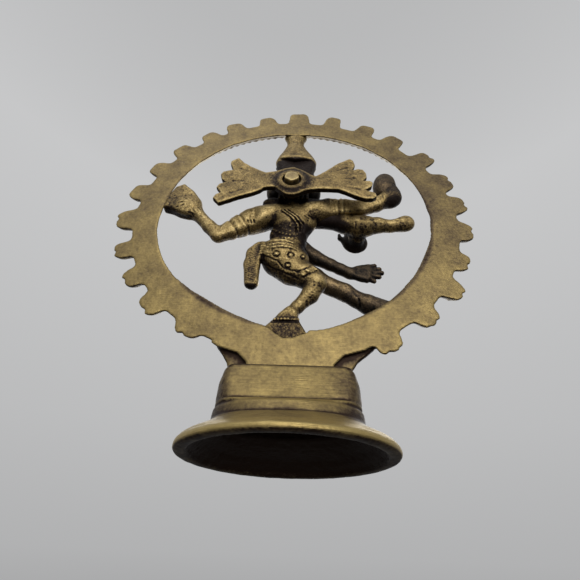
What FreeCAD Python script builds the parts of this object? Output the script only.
import FreeCAD, Part
import math
import os
import Sketcher
from FreeCAD import Placement, Rotation, Vector

# Cast brass nataraja statue, millimetres, +Z up, the dancer faces -Y.
# The origin is the centre of the round foot, on the surface that the statue stands on.
# The back of the flame ring is the plane Y = 0, and +X is the dancer's own left.

doc = FreeCAD.newDocument("Nataraja")

# ---------------------------------------------------------------- driving dimensions
SIZES = (
    ("ring_height", 69.6, "level that the dancer's joints are measured from"),
    ("ring_rise", 1.4, "centre of the flame ring above that level"),
    ("ring_opening", 40.3, "radius of the ring's opening"),
    ("ring_opening_drop", 0.4, "opening's centre below the ring's centre"),
    ("ring_root", 49.0, "radius where the flames spring from the ring"),
    ("ring_thick", 2.0, "thickness of the ring plate"),
    ("flame_count", 23, "flames round the ring"),
    ("flame_spread", 302.5, "angle between the first flame and the last, degrees"),
    ("flame_reach", 53.6, "radius of the flame tips"),
    ("flame_half_root", 3.6, "half width of a flame at its root"),
    ("flame_half_tip", 2.4, "half width of a flame at its tip"),
    ("crest_reach", 55.9, "radius of the crest flame's tip"),
    ("crest_half_width", 4.2, "half width of the crest flame"),
    ("stem_half_top", 18.0, "half width of the ring's stem where it leaves the ring"),
    ("stem_half_foot", 13.6, "half width of the ring's stem on the pedestal"),
    ("stem_thick", 3.2, "thickness of the ring's stem"),
    ("tenon_half_width", 7.0, "half width of the tenon under the ring"),
    ("tenon_thick", 2.0, "thickness of the tenon"),
    ("tenon_depth", 3.4, "depth of the tenon, through the pedestal's top and peened below"),
    ("foot_radius", 21.9, "radius of the round foot"),
    ("foot_lip", 2.1, "height of the foot's upright lip"),
    ("foot_shoulder", 5.2, "height of the foot where it meets the band"),
    ("band_half_width", 15.6, "half width of the band above the foot"),
    ("band_half_depth", 10.9, "half depth of the band"),
    ("band_top", 8.8, "height of the band's upper edge"),
    ("drum_half_width", 15.2, "half width of the drum at its foot"),
    ("drum_half_depth", 10.3, "half depth of the drum, towards the front"),
    ("drum_back", 6.2, "filed flat back of the drum, behind the ring's back"),
    ("drum_taper", 6.0, "slope of the drum's sides, degrees"),
    ("drum_top", 18.3, "height of the drum's top face"),
    ("wall", 2.0, "wall of the hollow pedestal"),
    ("fan_behind", 5.6, "front face of the hair fan behind the ring's back"),
    ("fan_thick", 1.6, "thickness of the hair fan"),
    ("fan_hub_thick", 2.4, "thickness of the fan at its hub"),
    ("fan_hub_radius", 4.7, "radius of the fan's hub"),
    ("fan_dish_radius", 3.4, "radius of the dish that the rivet's head sits in"),
    ("fan_dish_depth", 0.7, "depth of the dish"),
    ("fan_bore", 1.76, "radius of the hole that the fan swings on"),
    ("pin_radius", 1.7, "radius of the fan's rivet"),
    ("pin_collar_radius", 2.8, "radius of the rivet's collar, which spaces the fan"),
    ("pin_collar_back", 5.3, "back face of the collar"),
    ("pin_head_radius", 2.6, "radius of the rivet's filed head"),
    ("pin_head_front", 7.65, "front face of the rivet's head"),
    ("pin_head_back", 9.0, "back face of the rivet's head"),
    ("pin_root", 1.5, "front end of the rivet, inside the head"),
    ("skull_half_width", 6.0, "half width of the head with its hair"),
    ("skull_half_depth", 5.4, "half depth of the head"),
    ("skull_half_height", 6.8, "half height of the head"),
    ("crown_base", 5.2, "radius of the crown on the head"),
    ("crown_bulge", 6.9, "radius of the crown's bulge"),
    ("crown_tip", 2.9, "radius of the crown's tip"),
    ("chest_half_width", 6.6, "half width of the chest"),
    ("chest_half_depth", 4.2, "half depth of the chest"),
    ("chest_half_height", 6.0, "half height of the chest"),
    ("hips_half_width", 6.4, "half width of the hips"),
    ("hips_half_depth", 4.6, "half depth of the hips"),
    ("hips_half_height", 5.0, "half height of the hips"),
    ("neck_radius", 3.0, "radius of the neck"),
    ("waist_radius", 4.1, "radius of the waist"),
    ("thigh_radius", 4.6, "radius of the thighs"),
    ("knee_radius", 3.1, "radius of the knees"),
    ("calf_radius", 2.7, "radius of the calves"),
    ("ankle_radius", 1.9, "radius of the ankles"),
    ("shoulder_radius", 3.4, "radius of the shoulders"),
    ("upper_arm_radius", 2.9, "radius of the upper arms"),
    ("elbow_radius", 2.2, "radius of the elbows"),
    ("wrist_radius", 1.5, "radius of the wrists"),
    ("palm_radius", 2.3, "radius of the palms"),
    ("flame_hand_radius", 4.3, "radius of the hand that holds the flame"),
    ("drum_head_radius", 3.4, "radius of the hand drum's heads"),
    ("drum_waist_radius", 2.2, "radius of the hand drum's waist"),
    ("cobra_radius", 2.7, "radius of the cobra's hood"),
    ("sash_radius", 1.9, "radius of the sash end"),
    ("dwarf_half_length", 12.2, "half length of the dwarf under the foot"),
    ("dwarf_half_depth", 3.3, "half depth of the dwarf"),
    ("dwarf_height", 5.8, "height of the dwarf above the drum"),
    ("dwarf_taper", 9.0, "slope of the dwarf's sides, degrees"),
    ("lobe_half_root", 2.7, "half width of a fan lobe at its root"),
    ("lobe_half_tip", 1.5, "radius of a fan lobe's tip"),
    ("limb_ease", 0.95, "a limb's end against the ball it runs into"),
)

# The dancer's skeleton: (x, y, z), with z from the ring's centre.
JOINTS = (
    ("skull", 0.8, -1.0, 10.5), ("crown_foot", 1.0, -0.6, 16.5), ("crown_wide", 1.0, -0.6, 28.0),
    ("crown_end", 0.8, -0.9, 41.6), ("neck", 0.6, -1.2, 4.0), ("chest", 0.2, -1.6, -2.2),
    ("waist", 2.4, -1.6, -9.5), ("hips", 3.6, -2.0, -14.6),
    ("rear_left_shoulder", 6.6, -1.0, -0.2), ("rear_left_elbow", 21.3, -0.8, -10.2),
    ("rear_left_wrist", 29.3, -0.8, -1.2), ("flame_hand", 36.3, -1.2, 4.6),
    ("rear_right_shoulder", -5.2, -0.6, 1.6), ("rear_right_elbow", -17.0, 0.4, 4.0),
    ("rear_right_wrist", -28.6, -0.4, 7.6), ("drum_hand", -30.4, -0.4, 10.0),
    ("drum_low", -29.2, -1.0, 11.6), ("drum_mid", -28.8, -1.2, 14.4), ("drum_high", -28.4, -1.4, 17.2),
    ("front_right_shoulder", -6.4, -3.2, -0.6), ("front_right_elbow", -17.6, -2.8, -3.4),
    ("front_right_wrist", -18.8, -9.6, -3.8), ("blessing_palm", -18.8, -11.4, -0.4),
    ("blessing_tips", -18.8, -12.0, 4.6), ("cobra_neck", -24.6, -2.2, -3.4),
    ("cobra_hood", -32.2, -2.0, -2.8),
    ("front_left_shoulder", 6.0, -4.4, -0.4), ("front_left_elbow", -1.6, -8.6, -5.2),
    ("front_left_wrist", -18.6, -9.4, -13.6), ("hanging_tips", -26.6, -9.2, -15.6),
    ("standing_hip", 2.0, -1.8, -16.0), ("standing_knee", -6.2, -2.6, -24.2),
    ("standing_calf", -3.4, -2.2, -30.0), ("standing_ankle", 1.6, -2.4, -37.4),
    ("standing_heel", 2.0, -4.8, -43.0), ("standing_toes", 0.2, -9.2, -44.6),
    ("raised_hip", 5.0, -4.6, -15.0), ("raised_knee", -5.4, -11.4, -13.6),
    ("raised_calf", -11.6, -10.6, -19.0), ("raised_ankle", -19.2, -9.4, -25.6),
    ("raised_toes", -26.4, -9.8, -27.4),
    ("sash_knot", 8.6, -1.0, -12.8), ("sash_turn", 12.6, -0.8, -17.0), ("sash_end", 11.8, -0.8, -27.6),
    ("dwarf", 0.4, -6.5, -48.0),
    ("pin", 1.3, 0.0, 6.5),
)

sheet = doc.addObject("Spreadsheet::Sheet", "sizes")


def put_cell(row, name, value, note):
    sheet.set("A%d" % row, name)
    sheet.set("B%d" % row, str(value))
    sheet.setAlias("B%d" % row, name)
    sheet.set("C%d" % row, note)


next_row = 1
for size_name, size_value, size_note in SIZES:
    put_cell(next_row, size_name, size_value, size_note)
    next_row += 1
for joint_name, joint_x, joint_y, joint_z in JOINTS:
    for letter, place in (("x", joint_x), ("y", joint_y), ("z", joint_z)):
        put_cell(next_row, joint_name + "_" + letter, place, "place of the " + joint_name.replace("_", " "))
        next_row += 1
doc.recompute()


def size(name):
    return float(sheet.get(name))


def joint(name):
    """The place of a joint of the dancer in the statue's frame."""
    return Vector(size(name + "_x"), size(name + "_y"), size(name + "_z") + size("ring_height"))


# ---------------------------------------------------------------- helpers
def new_body(label):
    body = doc.addObject("PartDesign::Body", label)
    body.Label = label
    return body


def new_sketch(body, name, role, lift="0", turn="0"):
    """A sketch on one of the body's own planes, lifted along its normal and turned about it."""
    sketch = body.newObject("Sketcher::SketchObject", name)
    plane = next(face for face in body.Origin.OriginFeatures if face.Role == role)
    sketch.AttachmentSupport = [(plane, "")]
    sketch.MapMode = "FlatFace"
    sketch.AttachmentOffset = Placement(Vector(0, 0, 0), Rotation(Vector(0, 0, 1), 0))
    sketch.setExpression("AttachmentOffset.Base.z", lift)
    sketch.setExpression("AttachmentOffset.Rotation.Angle", turn)
    return sketch


def drive(sketch, kind, element, point, value):
    """A dimension from the sketch's origin, bound to the sheet."""
    number = sketch.addConstraint(Sketcher.Constraint(kind, -1, 1, element, point, 1.0))
    sketch.setExpression("Constraints[%d]" % number, value)


def polygon(sketch, corners):
    """A closed outline of straight lines; corners are pairs of expressions, in order."""
    count = len(corners)
    first = sketch.GeometryCount
    ring = [Vector(math.cos(2 * math.pi * step / count), math.sin(2 * math.pi * step / count), 0)
            for step in range(count)]
    for step in range(count):
        sketch.addGeometry(Part.LineSegment(ring[step], ring[(step + 1) % count]))
    for step in range(count):
        after = first + (step + 1) % count
        sketch.addConstraint(Sketcher.Constraint("Coincident", first + step, 2, after, 1))
    for step, (along, up) in enumerate(corners):
        drive(sketch, "DistanceX", first + step, 1, along)
        drive(sketch, "DistanceY", first + step, 1, up)


def circle(sketch, radius, along="0", up="0"):
    element = sketch.addGeometry(Part.Circle(Vector(0, 0, 0), Vector(0, 0, 1), 1.0))
    number = sketch.addConstraint(Sketcher.Constraint("Radius", element, 1.0))
    sketch.setExpression("Constraints[%d]" % number, radius)
    drive(sketch, "DistanceX", element, 3, along)
    drive(sketch, "DistanceY", element, 3, up)


def pad(body, name, sketch, length, backwards=False):
    feature = body.newObject("PartDesign::Pad", name)
    feature.Profile = sketch
    feature.Reversed = backwards
    feature.setExpression("Length", length)
    return feature


def pocket(body, name, sketch, length, backwards=False):
    feature = body.newObject("PartDesign::Pocket", name)
    feature.Profile = sketch
    feature.Reversed = backwards
    feature.setExpression("Length", length)
    return feature


def turned(body, kind, name, sketch):
    """A revolution or groove right round the body's Z axis."""
    feature = body.newObject(kind, name)
    feature.Profile = sketch
    feature.ReferenceAxis = (sketch, ["V_Axis"])
    feature.Angle = 360
    return feature


def place_at(thing, expressions):
    for letter, expression in zip("xyz", expressions):
        thing.setExpression("Placement.Base." + letter, expression)


def ball(name, centre, radius):
    sphere = doc.addObject("Part::Sphere", name)
    sphere.setExpression("Radius", "sizes." + radius)
    sphere.Placement = Placement(Vector(0, 0, 0), Rotation(Vector(0, 0, 1), 73))
    place_at(sphere, ["sizes." + centre + "_x", "sizes." + centre + "_y",
                      "sizes." + centre + "_z + sizes.ring_height"])
    return sphere


def egg(name, centre, half_width, half_depth, half_height):
    """An ellipsoid with its own half sizes along X, Y and Z."""
    lump = doc.addObject("Part::Ellipsoid", name)
    lump.setExpression("Radius1", "sizes." + half_height)
    lump.setExpression("Radius2", "sizes." + half_width)
    lump.setExpression("Radius3", "sizes." + half_depth)
    place_at(lump, ["sizes." + centre + "_x", "sizes." + centre + "_y",
                    "sizes." + centre + "_z + sizes.ring_height"])
    return lump


def bone(name, start, end, start_radius, end_radius):
    """A round limb from one joint to the next."""
    here, there = joint(start), joint(end)
    limb = doc.addObject("Part::Cone", name)
    limb.setExpression("Radius1", "sizes." + start_radius + " * sizes.limb_ease")
    limb.setExpression("Radius2", "sizes." + end_radius + " * (sizes.limb_ease - 0.01)")
    span = ["(sizes.%s_%s - sizes.%s_%s)^2" % (end, letter, start, letter) for letter in "xyz"]
    limb.setExpression("Height", "sqrt(" + " + ".join(span) + ")")
    limb.Placement = Placement(here, Rotation(Vector(0, 0, 1), there - here))
    return limb


def casting(label, members):
    """One solid of the members, fused."""
    fused = doc.addObject("Part::MultiFuse", label)
    fused.Label = label
    fused.Shapes = members
    return fused


def limb_chain(label, chain):
    """Balls at the joints and round limbs between them; chain is (joint, radius) pairs."""
    members = [ball(label + "_" + name, name, radius) for name, radius in chain]
    for (start, start_radius), (end, end_radius) in zip(chain, chain[1:]):
        members.append(bone(label + "_to_" + end, start, end, start_radius, end_radius))
    return members


# ---------------------------------------------------------------- pedestal
def make_pedestal():
    body = new_body("pedestal")
    foot = new_sketch(body, "foot_profile", "XZ_Plane")
    polygon(foot, (("0", "0"), ("sizes.foot_radius", "0"), ("sizes.foot_radius", "sizes.foot_lip"),
                   ("sizes.foot_radius - 1.3", "sizes.foot_lip + 0.9"),
                   ("sizes.band_half_width", "sizes.foot_shoulder"), ("0", "sizes.foot_shoulder")))
    turned(body, "PartDesign::Revolution", "foot", foot)
    band = new_sketch(body, "band_outline", "XY_Plane", "sizes.foot_shoulder - 1")
    stadium(band, "band_half_width", "band_half_depth")
    pad(body, "band", band, "sizes.band_top - sizes.foot_shoulder + 1")
    drum = new_sketch(body, "drum_outline", "XY_Plane", "sizes.band_top - 0.5")
    stadium(drum, "drum_half_width", "drum_half_depth")
    drum_pad = pad(body, "drum", drum, "sizes.drum_top - sizes.band_top + 0.5")
    drum_pad.setExpression("TaperAngle", "-sizes.drum_taper")
    filed = new_sketch(body, "filed_back", "XY_Plane", "sizes.drum_top + 1")
    polygon(filed, (("-sizes.foot_radius", "sizes.drum_back"), ("sizes.foot_radius", "sizes.drum_back"),
                    ("sizes.foot_radius", "sizes.foot_radius"), ("-sizes.foot_radius", "sizes.foot_radius")))
    pocket(body, "file_back", filed, "sizes.drum_top - sizes.band_top + 1")
    hollow = new_sketch(body, "hollow_outline", "XY_Plane")
    inner = "sizes.drum_half_width - 2 * sizes.wall"
    polygon(hollow, (("-(" + inner + ")", "4"), ("-(" + inner + ") + 4", "sizes.wall - sizes.drum_half_depth"),
                     (inner + " - 4", "sizes.wall - sizes.drum_half_depth"), (inner, "4"),
                     (inner + " - 1", "sizes.drum_back - sizes.wall"),
                     ("-(" + inner + ") + 1", "sizes.drum_back - sizes.wall")))
    pocket(body, "hollow", hollow, "sizes.drum_top - sizes.wall", True)
    mouth = new_sketch(body, "mouth_profile", "XZ_Plane")
    polygon(mouth, (("0", "0"), ("sizes.foot_radius - 1.2 * sizes.wall", "0"),
                    ("sizes.foot_radius - 1.5 * sizes.wall", "sizes.foot_lip - 0.9"),
                    ("sizes.band_half_depth - 1.1", "sizes.foot_shoulder - 1.3"),
                    ("0", "sizes.foot_shoulder - 1.3")))
    turned(body, "PartDesign::Groove", "mouth", mouth)
    slot = new_sketch(body, "tenon_slot", "XY_Plane", "sizes.drum_top")
    polygon(slot, rectangle("sizes.tenon_half_width", "-sizes.tenon_thick - 0.6", "-0.6"))
    pocket(body, "slot", slot, "2 * sizes.wall")
    return body


def rectangle(half_width, low, high):
    return (("-" + half_width, low), (half_width, low), (half_width, high), ("-" + half_width, high))


def stadium(sketch, half_width, half_depth):
    """Two straight sides along X joined by half circles; the sizes are names of cells."""
    radius = size(half_depth)
    reach = size(half_width) - radius
    up, quarter = Vector(0, 0, 1), math.pi / 2
    left = sketch.addGeometry(Part.ArcOfCircle(Part.Circle(Vector(-reach, 0, 0), up, radius),
                                               quarter, 3 * quarter))
    low = sketch.addGeometry(Part.LineSegment(Vector(-reach, -radius, 0), Vector(reach, -radius, 0)))
    right = sketch.addGeometry(Part.ArcOfCircle(Part.Circle(Vector(reach, 0, 0), up, radius),
                                                -quarter, quarter))
    high = sketch.addGeometry(Part.LineSegment(Vector(reach, radius, 0), Vector(-reach, radius, 0)))
    for one, other in ((left, low), (low, right), (right, high), (high, left)):
        sketch.addConstraint(Sketcher.Constraint("Tangent", one, 2, other, 1))
    sketch.addConstraint(Sketcher.Constraint("PointOnObject", right, 3, -1))
    sketch.addConstraint(Sketcher.Constraint("Symmetric", left, 3, right, 3, -1, 1))
    number = sketch.addConstraint(Sketcher.Constraint("Radius", right, radius))
    sketch.setExpression("Constraints[%d]" % number, "sizes." + half_depth)
    number = sketch.addConstraint(Sketcher.Constraint("DistanceX", -1, 1, right, 3, reach))
    sketch.setExpression("Constraints[%d]" % number, "sizes.%s - sizes.%s" % (half_width, half_depth))


# ---------------------------------------------------------------- flame ring
def make_flame_ring():
    body = new_body("flame_ring")
    plate = new_sketch(body, "plate_outline", "XZ_Plane")
    circle(plate, "sizes.ring_root")
    pad(body, "plate", plate, "sizes.ring_thick")
    flame = new_sketch(body, "flame_outline", "XZ_Plane", "0", "-sizes.flame_spread / 2")
    polygon(flame, flame_corners("sizes.flame_half_root", "sizes.flame_half_tip", "sizes.flame_reach"))
    first_flame = pad(body, "first_flame", flame, "sizes.ring_thick")
    flames = body.newObject("PartDesign::PolarPattern", "flames")
    flames.Originals = [first_flame]
    flames.Axis = (plate, ["N_Axis"])
    flames.setExpression("Angle", "sizes.flame_spread")
    flames.setExpression("Occurrences", "sizes.flame_count")
    body.Tip = flames
    crest = new_sketch(body, "crest_outline", "XZ_Plane")
    polygon(crest, flame_corners("sizes.crest_half_width", "0.5 * sizes.crest_half_width",
                                 "sizes.crest_reach"))
    pad(body, "crest", crest, "sizes.ring_thick")
    foot = "sizes.drum_top - sizes.ring_height - sizes.ring_rise"
    stem = new_sketch(body, "stem_outline", "XZ_Plane")
    polygon(stem, (("-sizes.stem_half_top", "-sizes.ring_root + 4.2"),
                   ("-sizes.stem_half_foot", foot + " + 3.4"), ("-sizes.stem_half_foot", foot),
                   ("sizes.stem_half_foot", foot), ("sizes.stem_half_foot", foot + " + 3.4"),
                   ("sizes.stem_half_top", "-sizes.ring_root + 4.2")))
    pad(body, "stem", stem, "sizes.stem_thick")
    opening = new_sketch(body, "opening_outline", "XZ_Plane")
    circle(opening, "sizes.ring_opening", "0", "-sizes.ring_opening_drop")
    pocket(body, "opening", opening, "sizes.ring_thick + 10", True)
    tenon = new_sketch(body, "tenon_outline", "XZ_Plane", "0.6")
    polygon(tenon, rectangle("sizes.tenon_half_width", foot + " - sizes.tenon_depth", foot + " + 1"))
    pad(body, "tenon", tenon, "sizes.tenon_thick")
    body.setExpression("Placement.Base.z", "sizes.ring_height + sizes.ring_rise")
    return body


def flame_corners(half_root, half_tip, reach):
    """A worn flame: a block with its outer corners cut off, rooted inside the ring."""
    return (("-" + half_root, "sizes.ring_root - 2"), (half_root, "sizes.ring_root - 2"),
            ("0.94 * " + half_root, reach + " - 1.6"), (half_tip, reach),
            ("-" + half_tip, reach), ("-0.94 * " + half_root, reach + " - 1.6"))


# ---------------------------------------------------------------- dancer
def make_dancer_body():
    members = [
        egg("skull_lump", "skull", "skull_half_width", "skull_half_depth", "skull_half_height"),
        egg("chest_lump", "chest", "chest_half_width", "chest_half_depth", "chest_half_height"),
        egg("hips_lump", "hips", "hips_half_width", "hips_half_depth", "hips_half_height"),
        bone("crown_lower", "crown_foot", "crown_wide", "crown_base", "crown_bulge"),
        bone("crown_upper", "crown_wide", "crown_end", "crown_bulge", "crown_tip"),
        bone("neck_post", "chest", "skull", "neck_radius", "neck_radius"),
    ]
    members += limb_chain("torso", (("chest", "waist_radius"), ("waist", "waist_radius"),
                                    ("hips", "waist_radius")))
    members += limb_chain("rear_left", (("rear_left_shoulder", "shoulder_radius"),
                                        ("rear_left_elbow", "elbow_radius"),
                                        ("rear_left_wrist", "wrist_radius"),
                                        ("flame_hand", "flame_hand_radius")))
    members += limb_chain("rear_right", (("rear_right_shoulder", "shoulder_radius"),
                                         ("rear_right_elbow", "upper_arm_radius"),
                                         ("rear_right_wrist", "wrist_radius"),
                                         ("drum_hand", "palm_radius")))
    members += limb_chain("standing", (("standing_hip", "thigh_radius"), ("standing_knee", "knee_radius"),
                                       ("standing_calf", "calf_radius"),
                                       ("standing_ankle", "ankle_radius"),
                                       ("standing_heel", "ankle_radius"),
                                       ("standing_toes", "wrist_radius")))
    members += limb_chain("sash", (("sash_knot", "sash_radius"), ("sash_turn", "sash_radius"),
                                   ("sash_end", "sash_radius")))
    members.append(bone("sash_tie", "hips", "sash_knot", "sash_radius", "sash_radius"))
    return casting("dancer_body", members)


def make_hand_drum():
    return casting("hand_drum", limb_chain("rattle", (
        ("drum_low", "drum_head_radius"), ("drum_mid", "drum_waist_radius"),
        ("drum_high", "drum_head_radius"))))


def make_front_right_arm():
    members = limb_chain("blessing", (("front_right_shoulder", "upper_arm_radius"),
                                      ("front_right_elbow", "elbow_radius"),
                                      ("front_right_wrist", "wrist_radius"),
                                      ("blessing_palm", "palm_radius"),
                                      ("blessing_tips", "wrist_radius")))
    members += limb_chain("cobra", (("front_right_elbow", "wrist_radius"),
                                    ("cobra_neck", "wrist_radius"), ("cobra_hood", "cobra_radius")))
    return casting("front_right_arm", members)


def make_front_left_arm():
    return casting("front_left_arm", limb_chain("hanging", (
        ("front_left_shoulder", "upper_arm_radius"), ("front_left_elbow", "elbow_radius"),
        ("front_left_wrist", "wrist_radius"), ("hanging_tips", "wrist_radius"))))


def make_raised_leg():
    return casting("raised_leg", limb_chain("raised", (
        ("raised_hip", "thigh_radius"), ("raised_knee", "knee_radius"), ("raised_calf", "calf_radius"),
        ("raised_ankle", "ankle_radius"), ("raised_toes", "ankle_radius"))))


def make_dwarf():
    """The little figure lying along the pedestal: a long low lump with round ends."""
    body = new_body("dwarf")
    outline = new_sketch(body, "dwarf_outline", "XY_Plane", "sizes.drum_top")
    stadium(outline, "dwarf_half_length", "dwarf_half_depth")
    lump = pad(body, "dwarf_lump", outline, "sizes.dwarf_height")
    lump.setExpression("TaperAngle", "-sizes.dwarf_taper")
    place_at(body, ["sizes.dwarf_x", "sizes.dwarf_y", "0"])


# ---------------------------------------------------------------- hair fan and its rivet
# One half of the fan about the rivet: the web's corners, then each lobe's root and tip, as (out, up).
FAN_WEB = ((0, 6.4), (3.2, 5.0), (7.6, 3.3), (14.8, 9.0), (18.0, 2.0), (17.4, -4.6), (14.6, -4.8),
           (9.0, -3.0), (5.0, -3.5), (0, -5.9))
FAN_LOBES = (((12.8, 5.8), (18.8, 12.0)), ((15.0, 3.4), (22.6, 4.6)), ((15.4, 0.2), (23.6, -0.8)),
             ((14.2, -2.4), (24.0, -7.4)))


def make_hair_fan():
    thick, hub_thick = size("fan_thick"), size("fan_hub_thick")
    back = Vector(0, 1, 0)
    fan = Part.makeCylinder(size("fan_hub_radius"), hub_thick, Vector(0, 0, 0), back)
    for side in (-1, 1):
        web = [Vector(side * out, 0, up) for out, up in FAN_WEB]
        fan = fan.fuse(Part.Face(Part.makePolygon(web + web[:1])).extrude(back * thick))
        for root, tip in FAN_LOBES:
            root_point, tip_point = (Vector(side * out, 0, up) for out, up in (root, tip))
            fan = fan.fuse(lobe(root_point, tip_point).extrude(back * thick))
    dish_floor = Vector(0, hub_thick - size("fan_dish_depth"), 0)
    fan = fan.cut(Part.makeCylinder(size("fan_dish_radius"), hub_thick, dish_floor, back))
    fan = fan.cut(Part.makeCylinder(size("fan_bore"), 2 * hub_thick, Vector(0, -1, 0), back))
    feature = doc.addObject("Part::Feature", "hair_fan")
    feature.Label = "hair_fan"
    feature.Shape = fan.removeSplitter()
    feature.Placement = Placement(Vector(size("pin_x"), size("fan_behind"), joint("pin").z), Rotation())


def lobe(root, tip):
    """The face of a tapering finger of the fan with a round tip."""
    along = (tip - root).normalize()
    across = Vector(along.z, 0, -along.x)
    root_half, tip_half = size("lobe_half_root"), size("lobe_half_tip")
    centre = tip - along * tip_half
    corners = [root - across * root_half, centre - across * tip_half,
               centre + across * tip_half, root + across * root_half]
    round_tip = Part.Arc(corners[1], tip, corners[2]).toShape()
    return Part.Face(Part.Wire([Part.makeLine(corners[0], corners[1]), round_tip,
                                Part.makeLine(corners[2], corners[3]),
                                Part.makeLine(corners[3], corners[0])]))


def make_hair_pin():
    body = new_body("hair_pin")
    profile = new_sketch(body, "pin_profile", "XY_Plane")
    polygon(profile, (("0", "sizes.pin_root"), ("sizes.pin_collar_radius", "sizes.pin_root"),
                      ("sizes.pin_collar_radius", "sizes.pin_collar_back"),
                      ("sizes.pin_radius", "sizes.pin_collar_back"),
                      ("sizes.pin_radius", "sizes.pin_head_front"),
                      ("sizes.pin_head_radius", "sizes.pin_head_front"),
                      ("sizes.pin_head_radius", "sizes.pin_head_back"), ("0", "sizes.pin_head_back")))
    turned(body, "PartDesign::Revolution", "pin_turned", profile)
    place_at(body, ["sizes.pin_x", "0", "sizes.pin_z + sizes.ring_height"])
    return body


# ---------------------------------------------------------------- build, check and write
NODES = ("pedestal", "flame_ring", "dwarf", "dancer_body", "raised_leg", "front_right_arm",
         "front_left_arm", "hand_drum", "hair_pin", "hair_fan")


def check_and_write():
    for thing in doc.Objects:
        if "Invalid" in thing.State or "Error" in thing.State:
            raise RuntimeError(thing.Label + " failed: " + str(thing.State))
    os.makedirs("parts", exist_ok=True)
    for node in NODES:
        shape = doc.getObjectsByLabel(node)[0].Shape
        if shape.isNull() or not shape.isValid() or len(shape.Solids) != 1:
            raise RuntimeError(node + " is not one valid solid")
        shape.exportStep("parts/" + node + ".step")
        print(node, round(shape.Volume), "mm3")


make_pedestal()
make_flame_ring()
make_dwarf()
make_dancer_body()
make_raised_leg()
make_front_right_arm()
make_front_left_arm()
make_hand_drum()
make_hair_pin()
make_hair_fan()
doc.recompute()
check_and_write()
